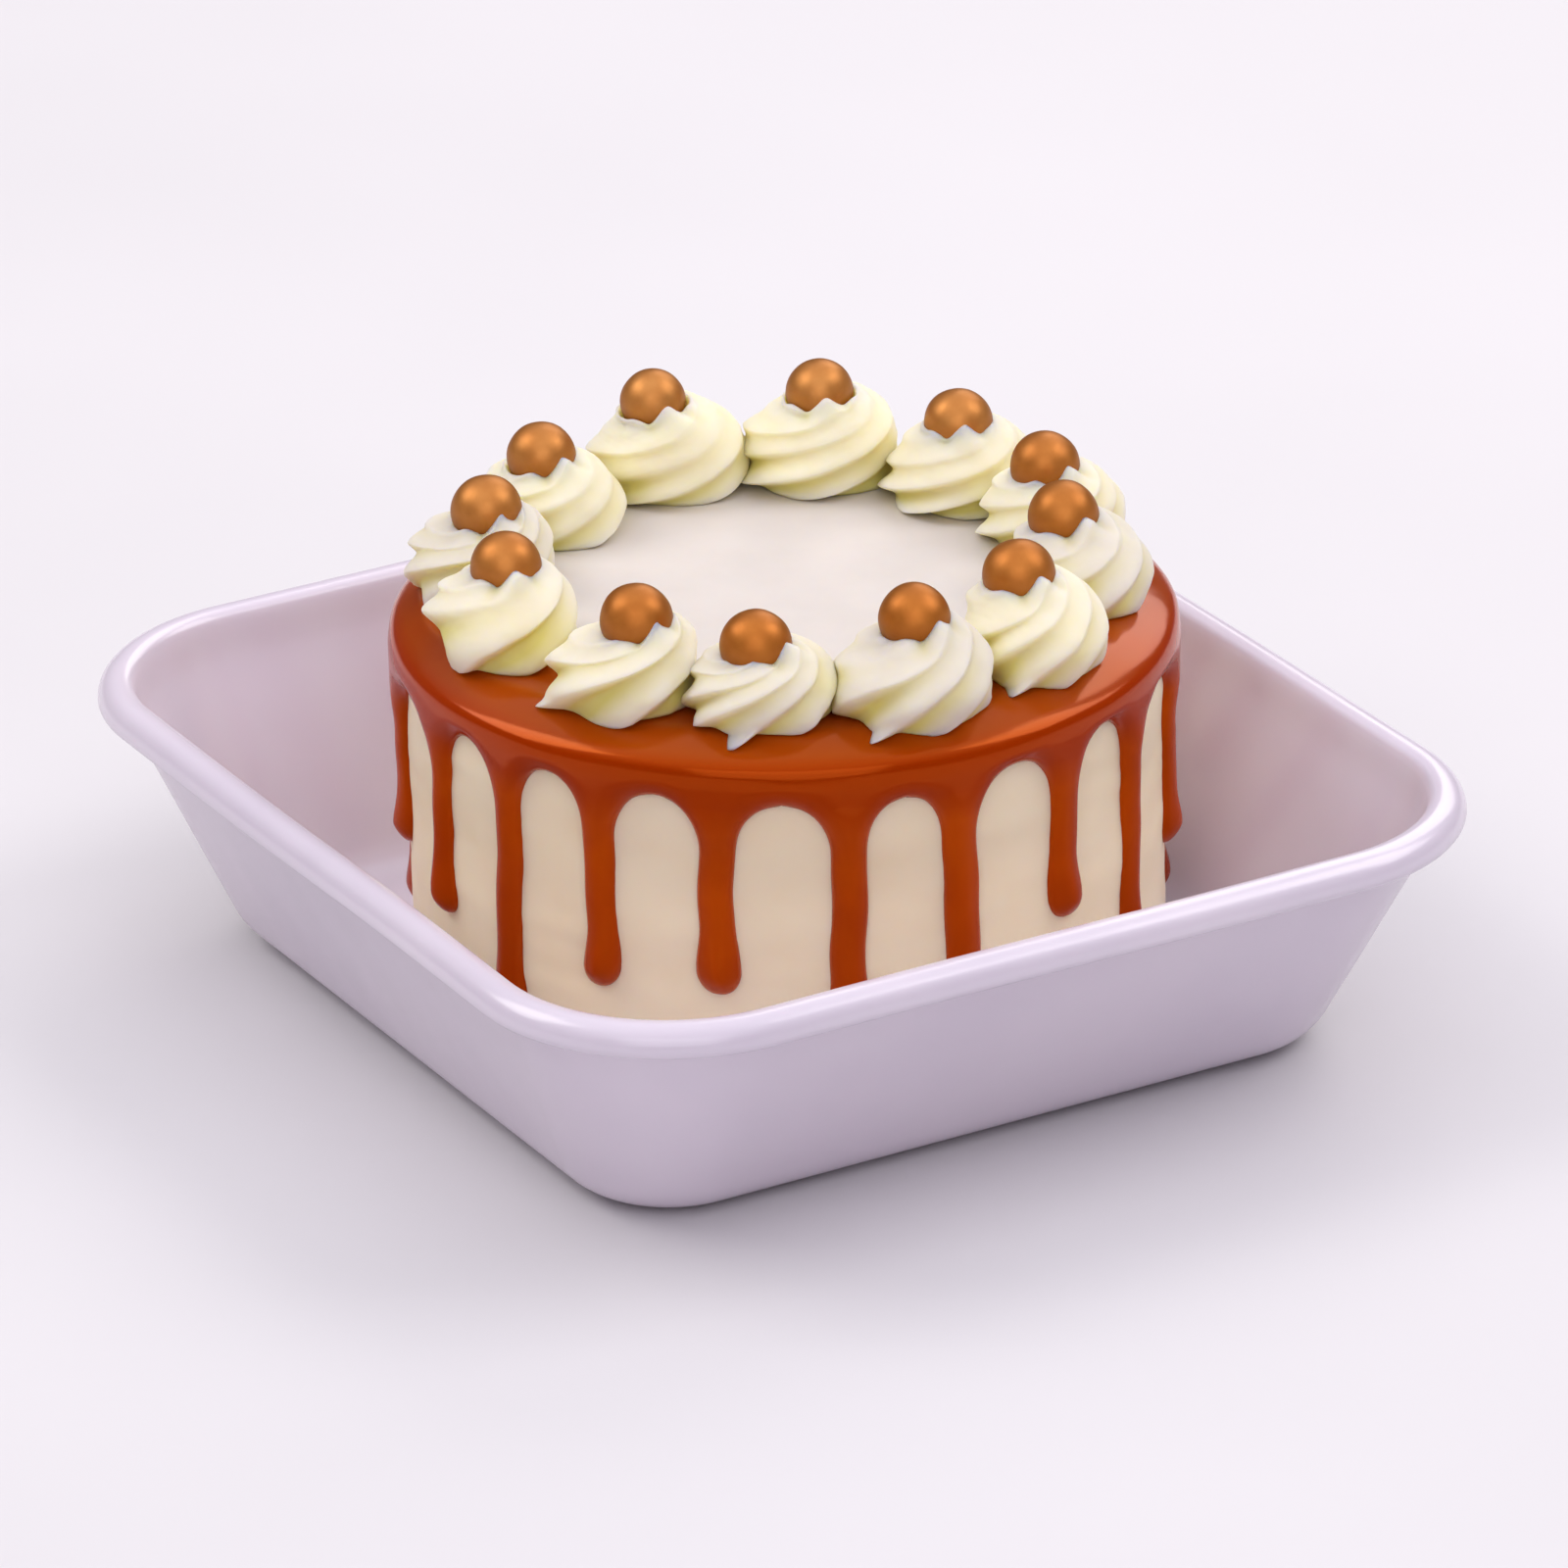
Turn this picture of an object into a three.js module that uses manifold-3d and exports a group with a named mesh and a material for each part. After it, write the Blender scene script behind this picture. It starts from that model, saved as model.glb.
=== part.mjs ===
// Bento cake: a small round cream cake with caramel drips, a ring of twelve piped
// rosettes each carrying one pearl, standing in an open white bento box.
// Millimetres, +Z up. The origin is on the underside of the box, at its centre.
// The long side of the box runs along X.
import * as THREE from "three";
import { mergeVertices } from "three/addons/utils/BufferGeometryUtils.js";
import Module from "manifold-3d";

// ---------------------------------------------------------------- dimensions

// Box: a thin tray with sloped walls, rounded corners and a rolled lip.
const BOX_WALL = 1.5; // wall and floor thickness
const BOX_FOOT_X = 51.4; // half length of the flat underside
const BOX_FOOT_Y = 48.4; // half width of the flat underside
const BOX_FOOT_CORNER = 7.7; // corner radius of the flat underside
const BOX_EDGE_R = 9.1; // radius of the rounding between floor and wall
const BOX_TOP_X = 73.7; // half length of the outer wall under the lip
const BOX_TOP_Y = 67.1; // half width of the outer wall under the lip
const BOX_TOP_Z = 30.9; // height just under the lip
const BOX_TOP_CORNER = 23.5; // corner radius of the outer wall under the lip
const LIP_OUT = 4.25; // how far the lip stands out from the wall
const LIP_R = 2.95; // radius of the rolled top of the lip
const LIP_Z = 33.6; // height of the centre of that roll
const LIP_UNDER = 1.4; // from the centre of that roll down to its underside
const CORNER_STEPS = 7; // facets in each corner

// Cake: place in the box, and the size of the cream body.
const CAKE_X = -1.1;
const CAKE_Y = 2.7;
const CAKE_R = 49.9; // cream radius
const CAKE_Z0 = 1.9; // underside, on the floor of the box
const CAKE_RIM_Z = 53.0; // cream top below the caramel
const CAKE_TOP_Z = 54.95; // white disc in the middle, level with the caramel
const CAKE_SHOULDER = 3.8; // rounding of the cream's top edge
const DISC_R = 41.0; // radius of the white disc
const CAKE_FOOT_R = 2.7; // rounding of its bottom edge
const CAKE_SIDES = 40;

// Caramel: a ring over the top edge, with drips running down the side.
const GAP = 0.3; // clearance between pieces that touch
const CARAMEL_TOP_Z = 55.0;
const CARAMEL_R = 52.1; // outer radius of the ring
const CARAMEL_SHOULDER = 5.7; // rounding of its outer edge
const CARAMEL_RING_Z = 48.3; // lower edge of the ring between the drips
const CARAMEL_SIDES = 40;
const DRIP_NECK = 2.35; // half width of a drip
const DRIP_PROUD = 1.85; // how far a drip stands off the cream
const ARCH_H = 6.5; // height of the round arch between two drips

// One row per drip: angle on the cake in degrees, height of its lowest point,
// half width of its bulb, height of the arch on its anticlockwise side.
const DRIPS = [
  [-128.5, 10.4, 2.7, 47.0],
  [-114.5, 23.1, 2.6, 47.1],
  [-89.8, 20.5, 2.9, 47.2],
  [-74.2, 11.0, 2.7, 47.3],
  [-57.6, 19.9, 2.6, 47.2],
  [-39.9, 20.3, 2.95, 46.5],
  [-20.8, 13.6, 2.8, 46.3],
  [-3.8, 12.6, 2.8, 47.7],
  [15.5, 24.5, 2.85, 47.6],
  [32.5, 12.0, 2.6, 47.8],
  [54.8, 21.1, 2.75, 47.4],
  [70.5, 10.6, 2.6, 46.8],
  [88.5, 19.4, 2.8, 47.3],
  [107.0, 13.8, 2.7, 47.6],
  [124.5, 22.6, 2.9, 46.9],
  [143.0, 16.2, 2.6, 47.2],
  [160.5, 24.0, 2.8, 47.5],
  [178.0, 12.4, 2.7, 46.7],
  [196.5, 20.8, 2.85, 47.1],
  [214.5, 15.0, 2.7, 47.4],
];

// Rosettes: piped swirls with deep twisted ridges.
const RIDGES = 6;
const ROSETTE_Z = CARAMEL_TOP_Z + GAP;
const ROSETTE_H = 11.6; // height of the pulled-off tip
const ROSETTE_TWIST = 110; // degrees from base to tip, anticlockwise going up
const TIP_REACH = 4.5; // how far beside the pearl's centre the tip stands
const VALLEY = 0.78; // groove radius as a part of the ridge radius
// Height and ridge radius of each level, as parts of the height and the radius.
const ROSETTE_LEVELS = [
  [0.0, 0.9],
  [0.14, 1.01],
  [0.34, 1.02],
  [0.54, 0.98],
  [0.72, 0.87],
  [0.88, 0.66],
  [1.0, 0.24],
];
// Pearls: sugar pearls pressed into the rosettes.
const PEARL_R = 4.7;
const CUP_R = PEARL_R + 0.36;
// One row per rosette: angle and distance of its base from the cake's axis, its
// radius, the angle, distance and height of its pearl, the direction in which
// its tip leans out beside the pearl, and the angle and length of its tail.
const ROSETTES = [
  [173.0, 41.4, 10.1, 175.9, 39.6, 67.5, 15, 250, 1.2],
  [143.0, 40.8, 9.8, 142.7, 39.3, 67.2, -18, 262, 0.8],
  [114.5, 39.9, 9.0, 112.8, 38.9, 65.9, -5, 30, 1.0],
  [88.0, 40.2, 9.0, 86.1, 38.7, 65.3, 10, 70, 1.1],
  [57.0, 40.2, 9.9, 60.4, 36.8, 65.1, 5, 20, 1.2],
  [26.0, 40.4, 9.8, 23.3, 38.1, 66.7, 8, -62, 1.6],
  [-5.5, 40.9, 9.9, -4.1, 38.8, 65.9, 8, -52, 1.9],
  [-34.5, 39.2, 9.4, -34.9, 39.2, 64.3, 12, -58, 2.4],
  [-62.0, 40.4, 9.5, -58.7, 38.8, 66.0, -8, -112, 2.2],
  [-93.5, 41.2, 10.0, -97.3, 38.8, 65.5, -20, -140, 2.0],
  [-125.0, 40.3, 9.9, -125.5, 39.0, 65.7, 0, -170, 1.8],
  [-156.0, 39.2, 9.8, -154.3, 38.7, 65.7, 12, 190, 1.2],
];

const wasm = await Module();
wasm.setup();

const rad = THREE.MathUtils.degToRad;

// ------------------------------------------------------------------- helpers

// Solid for joining and cutting, from a closed geometry.
function toSolid(geometry) {
  const g = geometry.clone();
  g.deleteAttribute("normal");
  g.deleteAttribute("uv");
  const merged = mergeVertices(g, 1e-4);
  return new wasm.Manifold(
    new wasm.Mesh({
      numProp: 3,
      vertProperties: new Float32Array(merged.attributes.position.array),
      triVerts: new Uint32Array(merged.index.array),
    }),
  );
}

// Geometry back from a solid.
function toGeometry(solid) {
  const m = solid.getMesh();
  const g = new THREE.BufferGeometry();
  g.setAttribute("position", new THREE.BufferAttribute(m.vertProperties, 3));
  g.setIndex(new THREE.BufferAttribute(m.triVerts, 1));
  const flat = g.toNonIndexed();
  flat.computeVertexNormals();
  return flat;
}

// Closed skin over a stack of rings of equal point count, closed at both ends
// with a fan to the middle of the ring. Rings run anticlockwise seen from above.
function loftRings(rings, capFirst = true, capLast = true) {
  const n = rings[0].length;
  const pos = rings.flat(2);
  const idx = [];
  for (let k = 0; k + 1 < rings.length; k++)
    for (let i = 0; i < n; i++) {
      const a = k * n + i;
      const b = k * n + ((i + 1) % n);
      idx.push(a, b, b + n, a, b + n, a + n);
    }
  const addFan = (k, flip) => {
    const c = pos.length / 3;
    const mid = rings[k].reduce(
      (s, p) => [s[0] + p[0] / n, s[1] + p[1] / n, s[2] + p[2] / n],
      [0, 0, 0],
    );
    pos.push(...mid);
    for (let i = 0; i < n; i++) {
      const a = k * n + i;
      const b = k * n + ((i + 1) % n);
      if (flip) idx.push(c, b, a);
      else idx.push(c, a, b);
    }
  };
  if (capFirst) addFan(0, true);
  if (capLast) addFan(rings.length - 1, false);
  const g = new THREE.BufferGeometry();
  g.setAttribute("position", new THREE.Float32BufferAttribute(pos, 3));
  g.setIndex(idx);
  return g;
}

// Rounded rectangle as a ring of points at height z.
function roundedRing(hx, hy, corner, z) {
  const ring = [];
  for (let q = 0; q < 4; q++) {
    const sx = q === 0 || q === 3 ? 1 : -1;
    const sy = q < 2 ? 1 : -1;
    for (let i = 0; i <= CORNER_STEPS; i++) {
      const a = rad(90 * (q + i / CORNER_STEPS));
      ring.push([
        sx * (hx - corner) + corner * Math.cos(a),
        sy * (hy - corner) + corner * Math.sin(a),
        z,
      ]);
    }
  }
  return ring;
}

const smoothed = (geometry) => {
  const g = geometry.toNonIndexed();
  g.computeVertexNormals();
  return g;
};

function makeMesh(name, geometry, colour, roughness, metalness = 0) {
  const mesh = new THREE.Mesh(
    geometry,
    new THREE.MeshStandardMaterial({ color: colour, roughness, metalness }),
  );
  mesh.name = name;
  return mesh;
}

// ----------------------------------------------------------------------- box

// The walls are followed from the middle of the underside, up the outside, over
// the lip and down the inside to the floor.
function boxGeometry() {
  const rings = [];
  const steps = [0, 20, 40, 60];
  const round = (r, deg) => {
    const s = r * Math.sin(rad(deg));
    return roundedRing(
      BOX_FOOT_X + s,
      BOX_FOOT_Y + s,
      BOX_FOOT_CORNER + s,
      BOX_EDGE_R - r * Math.cos(rad(deg)),
    );
  };
  for (const deg of steps) rings.push(round(BOX_EDGE_R, deg));
  // offset d outwards from the top of the outer wall, at height z
  const at = (d, z) =>
    roundedRing(BOX_TOP_X + d, BOX_TOP_Y + d, BOX_TOP_CORNER + d, z);
  const under = LIP_Z - LIP_UNDER;
  rings.push(at(0.1, BOX_TOP_Z + 0.23));
  rings.push(at(0.85, under - 0.1));
  rings.push(at(LIP_OUT - 1.2, under + 0.05));
  rings.push(at(LIP_OUT - 0.35, under + 0.5));
  const mid = LIP_OUT - LIP_R;
  for (const deg of [0, 35, 65, 95, 130])
    rings.push(
      at(mid + LIP_R * Math.cos(rad(deg)), LIP_Z + LIP_R * Math.sin(rad(deg))),
    );
  rings.push(at(-1.13 * BOX_WALL, BOX_TOP_Z + 0.6));
  for (const deg of [...steps].reverse())
    rings.push(round(BOX_EDGE_R - BOX_WALL, deg));
  return loftRings(rings);
}

// ---------------------------------------------------------------------- cake

const lathe = (profile, sides) =>
  new THREE.LatheGeometry(
    profile.map(([r, z]) => new THREE.Vector2(r, z)),
    sides,
  ).rotateX(Math.PI / 2);

// Outline of the cream body from axis to axis, grown by d.
function cakeProfile(d) {
  const r = CAKE_R + d;
  const s = CAKE_SHOULDER + d;
  const zc = CAKE_RIM_Z - CAKE_SHOULDER;
  const rc = CAKE_R - CAKE_SHOULDER;
  const p = [
    [0, CAKE_Z0 - d],
    [r - CAKE_FOOT_R, CAKE_Z0 - d],
    [r, CAKE_Z0 - d + CAKE_FOOT_R],
  ];
  for (const deg of [0, 45, 90])
    p.push([rc + s * Math.cos(rad(deg)), zc + s * Math.sin(rad(deg))]);
  p.push([DISC_R + d, CAKE_RIM_Z + d]);
  p.push([DISC_R + d, CAKE_TOP_Z + d]);
  p.push([0, CAKE_TOP_Z + d]);
  return p;
}

// Caramel ring, reaching a little into the cream before it is cut to fit.
function caramelRing() {
  const rc = CARAMEL_R - CARAMEL_SHOULDER;
  const zc = CARAMEL_TOP_Z - CARAMEL_SHOULDER;
  const p = [
    [DISC_R - 1, CAKE_RIM_Z - 1],
    [CAKE_R - CAKE_SHOULDER, CAKE_RIM_Z - 1.2],
    [CAKE_R - 1.4, CAKE_RIM_Z - CAKE_SHOULDER],
    [CAKE_R - 1.4, CARAMEL_RING_Z],
    [CAKE_R + 0.6, CARAMEL_RING_Z],
    [CARAMEL_R - 0.35, CARAMEL_RING_Z + 0.4],
  ];
  for (const deg of [0, 28, 56, 90])
    p.push([
      rc + CARAMEL_SHOULDER * Math.cos(rad(deg)),
      zc + CARAMEL_SHOULDER * Math.sin(rad(deg)),
    ]);
  p.push([DISC_R - 1, CARAMEL_TOP_Z]);
  p.push(p[0]);
  return lathe(p, CARAMEL_SIDES);
}

// One drip: a bead on the side of the cake, with a round bulb below and arches
// that widen it above until it meets its neighbours.
function dripGeometry([deg, zBottom, bulb], left, right) {
  const levels = [];
  const bulbZ = zBottom + bulb * 1.15;
  for (const a of [-66, -10, 45])
    levels.push({
      z: bulbZ + bulb * 1.15 * Math.sin(rad(a)),
      l: bulb * Math.cos(rad(a)) ** 0.8,
      r: bulb * Math.cos(rad(a)) ** 0.8,
      h: (DRIP_PROUD + 0.45) * Math.cos(rad(a)) ** 0.6,
    });
  levels[2] = { z: bulbZ + bulb * 1.5, l: DRIP_NECK, r: DRIP_NECK, h: DRIP_PROUD };
  const base = Math.min(left.z, right.z) - ARCH_H;
  const flare = (side, z) => {
    const t = Math.min(1, Math.max(0, (z - base) / (side.z - base)));
    return DRIP_NECK + (side.w + 0.06 - DRIP_NECK) * (1 - Math.sqrt(1 - t * t));
  };
  for (const t of [0, 0.55, 0.86, 1.0]) {
    const z = base + t * (Math.max(left.z, right.z) - base);
    levels.push({ z, l: flare(left, z), r: flare(right, z), h: DRIP_PROUD });
  }
  levels.push({
    z: CARAMEL_RING_Z + 1.6,
    l: left.w + 0.06,
    r: right.w + 0.06,
    h: DRIP_PROUD - 0.9,
  });
  // cross-section: flat on the cream side, domed outside
  const place = (s, n, z) => {
    const a = rad(deg) + s / CAKE_R;
    return [(CAKE_R + n) * Math.cos(a), (CAKE_R + n) * Math.sin(a), z];
  };
  const rings = levels.map(({ z, l, r, h }) => [
    place(r, -0.6, z),
    place(r, GAP + 0.15, z),
    place(0.5 * r, GAP + 0.9 * h, z),
    place(-0.5 * l, GAP + 0.9 * h, z),
    place(-l, GAP + 0.15, z),
    place(-l, -0.6, z),
  ]);
  for (const ring of rings) ring.reverse();
  return loftRings(rings);
}

function caramelGeometry() {
  let solid = toSolid(caramelRing());
  const n = DRIPS.length;
  for (let i = 0; i < n; i++) {
    const [deg, , , zNext] = DRIPS[i];
    const next = DRIPS[(i + 1) % n][0] + (i + 1 === n ? 360 : 0);
    const prev = DRIPS[(i + n - 1) % n][0] - (i === 0 ? 360 : 0);
    const zPrev = DRIPS[(i + n - 1) % n][3];
    const right = { w: (rad(next - deg) / 2) * CAKE_R, z: zNext };
    const left = { w: (rad(deg - prev) / 2) * CAKE_R, z: zPrev };
    solid = solid.add(toSolid(dripGeometry(DRIPS[i], left, right)));
  }
  return toGeometry(solid.subtract(toSolid(lathe(cakeProfile(GAP + 0.1), CARAMEL_SIDES))));
}

// ------------------------------------------------------------------ rosettes

// Small fixed variation, so no two rosettes are alike.
const vary = (i, k) => Math.sin(12.9898 * (i + 1) + 78.233 * (k + 1)) * 0.5;

function rosetteSolid(i, radius, tipX, tipY, tailDeg, tail) {
  const phase = 360 * vary(i, 0);
  const rings = ROSETTE_LEVELS.map(([t, f]) => {
    const ring = [];
    for (let k = 0; k < RIDGES; k++) {
      const turn = phase + ROSETTE_TWIST * t;
      const pitch = 360 / RIDGES;
      for (const [part, isRidge] of [
        [0, true],
        [0.55, false],
      ]) {
        const deg = turn + pitch * (k + part);
        let r = radius * f * (isRidge ? 1 - 0.045 * (1 + 2 * vary(i, k + 3)) : VALLEY);
        if (isRidge && t < 0.2) {
          const off = Math.cos(rad(deg - tailDeg));
          if (off > 0.6) r += (tail * (off - 0.6) * (0.2 - t)) / (0.4 * 0.2);
        }
        const lean = t * t;
        ring.push([
          tipX * lean + r * Math.cos(rad(deg)),
          tipY * lean + r * Math.sin(rad(deg)),
          ROSETTE_H * t,
        ]);
      }
    }
    return ring;
  });
  return toSolid(loftRings(rings));
}

// ------------------------------------------------------------------ assembly

const bentoCake = new THREE.Group();

bentoCake.add(makeMesh("bento_box", smoothed(boxGeometry()), 0xece6ef, 0.35));

const cake = new THREE.Group();
cake.position.set(CAKE_X, CAKE_Y, 0);
bentoCake.add(cake);

cake.add(makeMesh("cake_body", lathe(cakeProfile(0), CAKE_SIDES), 0xf1e2c6, 0.6));
cake.add(makeMesh("caramel_drip", caramelGeometry(), 0xa9500f, 0.2));

ROSETTES.forEach(
  ([deg, dist, radius, pDeg, pDist, pZ, tipDeg, tailDeg, tail], i) => {
    const id = String(i + 1).padStart(2, "0");
    const base = [dist * Math.cos(rad(deg)), dist * Math.sin(rad(deg))];
    const pearl = [pDist * Math.cos(rad(pDeg)), pDist * Math.sin(rad(pDeg))];
    // the tip stands beside the pearl
    const tipX = pearl[0] - base[0] + TIP_REACH * Math.cos(rad(tipDeg));
    const tipY = pearl[1] - base[1] + TIP_REACH * Math.sin(rad(tipDeg));
    const cup = new THREE.SphereGeometry(CUP_R, 10, 7)
      .rotateX(Math.PI / 2)
      .translate(pearl[0] - base[0], pearl[1] - base[1], pZ - ROSETTE_Z);
    const solid = rosetteSolid(i, radius, tipX, tipY, tailDeg, tail).subtract(
      toSolid(cup),
    );
    const rosette = makeMesh(`rosette_${id}`, toGeometry(solid), 0xf6f2dc, 0.55);
    rosette.position.set(base[0], base[1], ROSETTE_Z);
    cake.add(rosette);

    const ball = makeMesh(
      `pearl_${id}`,
      new THREE.SphereGeometry(PEARL_R, 10, 7).rotateX(Math.PI / 2),
      0xbf7433,
      0.3,
      0.35,
    );
    ball.position.set(pearl[0], pearl[1], pZ);
    cake.add(ball);
  },
);

export default bentoCake;
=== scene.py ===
# Bento cake in an open bento box: cream cake with caramel drips, twelve piped
# rosettes and twelve sugar pearls. Lengths are worked out in millimetres and
# handed to Blender in metres.
import math

import bpy
import numpy as np
from mathutils import Matrix, Vector


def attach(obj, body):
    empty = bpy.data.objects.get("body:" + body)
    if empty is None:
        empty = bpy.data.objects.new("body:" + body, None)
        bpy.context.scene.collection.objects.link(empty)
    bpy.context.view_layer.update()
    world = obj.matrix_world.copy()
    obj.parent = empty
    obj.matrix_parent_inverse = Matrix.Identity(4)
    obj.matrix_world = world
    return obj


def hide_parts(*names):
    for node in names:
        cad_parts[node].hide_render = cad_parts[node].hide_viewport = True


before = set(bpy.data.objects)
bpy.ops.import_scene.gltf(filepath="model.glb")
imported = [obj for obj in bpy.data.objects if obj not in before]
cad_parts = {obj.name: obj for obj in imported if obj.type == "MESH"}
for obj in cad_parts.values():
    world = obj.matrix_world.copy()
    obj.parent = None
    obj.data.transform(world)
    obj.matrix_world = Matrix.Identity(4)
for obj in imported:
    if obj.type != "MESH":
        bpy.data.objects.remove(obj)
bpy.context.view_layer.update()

MM = 0.001
CAKE = np.array([-1.1, 2.7])  # axis of the cake


# ---------------------------------------------------------------------------
# helpers
# ---------------------------------------------------------------------------

def smoothstep(a, b, x):
    t = np.clip((np.asarray(x, float) - a) / (b - a), 0.0, 1.0)
    return t * t * (3 - 2 * t)


class Wobble:
    """Smooth seeded noise in 3-D, as a sum of sine waves of mixed direction."""

    def __init__(self, seed, scale, octaves=3):
        rng = np.random.default_rng(seed)
        self.waves = []
        for o in range(octaves):
            for _ in range(7):
                d = rng.normal(size=3)
                d /= np.linalg.norm(d)
                f = 2 * math.pi / (scale / 1.9**o) * rng.uniform(0.7, 1.3)
                self.waves.append((d * f, rng.uniform(0, 2 * math.pi), 0.55**o))

    def __call__(self, x, y, z):
        total = np.zeros(np.broadcast(x, y, z).shape)
        norm = 0.0
        for d, phase, amp in self.waves:
            total = total + amp * np.sin(d[0] * x + d[1] * y + d[2] * z + phase)
            norm += amp * amp
        return total / math.sqrt(norm / 2) * 0.6


def make_mesh(name, verts, faces, material, node=None, smooth=True):
    """A piece from points in millimetres. It rides on the part's one body."""
    me = bpy.data.meshes.new(name)
    me.from_pydata([tuple(v) for v in (np.asarray(verts, float) * MM)], [], faces)
    me.validate()
    me.polygons.foreach_set("use_smooth", [smooth] * len(me.polygons))
    me.materials.append(material)
    ob = bpy.data.objects.new(name, me)
    bpy.context.scene.collection.objects.link(ob)
    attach(ob, "root")
    if node:
        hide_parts(node)
    return ob


def grid_faces(rows, cols, closed, start=0, flip=False):
    """Quads over a grid of rows x cols points; closed joins the last column to the first."""
    out = []
    for k in range(rows - 1):
        for i in range(cols if closed else cols - 1):
            a = start + k * cols + i
            b = start + k * cols + (i + 1) % cols
            q = (a, b, b + cols, a + cols)
            out.append(q[::-1] if flip else q)
    return out


def revolve(rings, cap_first=True, cap_last=True):
    """Closed skin over rings of equal point count, each an (n, 3) array,
    anticlockwise seen from above, with a fan at each end."""
    n = len(rings[0])
    verts = np.concatenate(rings)
    faces = grid_faces(len(rings), n, True)
    verts = list(verts)
    if cap_first:
        c = len(verts)
        verts.append(rings[0].mean(0))
        faces += [(c, (i + 1) % n, i) for i in range(n)]
    if cap_last:
        c = len(verts)
        base = (len(rings) - 1) * n
        verts.append(rings[-1].mean(0))
        faces += [(c, base + i, base + (i + 1) % n) for i in range(n)]
    return np.array(verts), faces


# ---------------------------------------------------------------------------
# materials
# ---------------------------------------------------------------------------

def srgb(r, g, b):
    def lin(c):
        c /= 255.0
        return c / 12.92 if c <= 0.04045 else ((c + 0.055) / 1.055) ** 2.4
    return (lin(r), lin(g), lin(b), 1.0)


class Mat:
    """Small helper around one node material with a Principled shader."""

    def __init__(self, name, **sockets):
        self.mat = bpy.data.materials.new(name)
        self.mat.use_nodes = True
        self.nt = self.mat.node_tree
        self.bsdf = self.nt.nodes["Principled BSDF"]
        for k, v in sockets.items():
            self.bsdf.inputs[k.replace("_", " ")].default_value = v

    def node(self, kind, **props):
        n = self.nt.nodes.new(kind)
        for k, v in props.items():
            if k.startswith("in_"):
                n.inputs[k[3:].replace("_", " ")].default_value = v
            else:
                setattr(n, k, v)
        return n

    def link(self, a, out, b, inp):
        self.nt.links.new(a.outputs[out], b.inputs[inp])

    def coords(self):
        if not hasattr(self, "_co"):
            self._co = self.node("ShaderNodeTexCoord")
        return self._co

    def noise(self, scale_mm, detail=3.0, rough=0.5, stretch=None):
        """Noise whose features are about scale_mm wide, in object space."""
        n = self.node("ShaderNodeTexNoise", in_Scale=1.0 / (scale_mm * MM), in_Detail=detail, in_Roughness=rough)
        if stretch:
            m = self.node("ShaderNodeMapping")
            m.inputs["Scale"].default_value = stretch
            self.link(self.coords(), "Object", m, "Vector")
            self.link(m, "Vector", n, "Vector")
        else:
            self.link(self.coords(), "Object", n, "Vector")
        return n

    def remap(self, src, out, a, b, lo, hi):
        m = self.node("ShaderNodeMapRange", in_From_Min=a, in_From_Max=b, in_To_Min=lo, in_To_Max=hi)
        self.link(src, out, m, "Value")
        return m

    def mix(self, fac_node, fac_out, col_a, col_b):
        m = self.node("ShaderNodeMix", data_type="RGBA")
        ins = {s.identifier: s for s in m.inputs}
        outs = {s.identifier: s for s in m.outputs}
        for key, col in (("A_Color", col_a), ("B_Color", col_b)):
            if isinstance(col, tuple) and len(col) == 2:
                self.nt.links.new(col[1], ins[key])
            else:
                ins[key].default_value = col
        self.nt.links.new(fac_node.outputs[fac_out], ins["Factor_Float"])
        return m, outs["Result_Color"]

    def bump(self, height_socket, strength, distance_mm, below=None):
        b = self.node("ShaderNodeBump")
        b.inputs["Strength"].default_value = strength
        b.inputs["Distance"].default_value = distance_mm * MM
        self.nt.links.new(height_socket, b.inputs["Height"])
        if below is not None:
            self.link(below, "Normal", b, "Normal")
        return b


def box_material():
    m = Mat("box_plastic", Roughness=0.24, IOR=1.7)
    m.bsdf.inputs["Subsurface Weight"].default_value = 0.12
    m.bsdf.inputs["Subsurface Radius"].default_value = (0.004, 0.003, 0.0035)
    m.bsdf.inputs["Subsurface Scale"].default_value = 1.0
    cloud = m.noise(38, 3)
    f = m.remap(cloud, "Fac", 0.3, 0.7, 0.0, 1.0)
    _, col = m.mix(f, "Result", srgb(211, 202, 216), srgb(219, 210, 222))
    m.nt.links.new(col, m.bsdf.inputs["Base Color"])
    r = m.remap(m.noise(9, 4), "Fac", 0.25, 0.75, 0.18, 0.27)
    m.link(r, "Result", m.bsdf, "Roughness")
    fine = m.noise(0.9, 3)
    b1 = m.bump(fine.outputs["Fac"], 0.10, 0.05)
    wave = m.noise(22, 2)
    b2 = m.bump(wave.outputs["Fac"], 0.25, 0.35, b1)
    m.link(b2, "Normal", m.bsdf, "Normal")
    return m.mat


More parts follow.
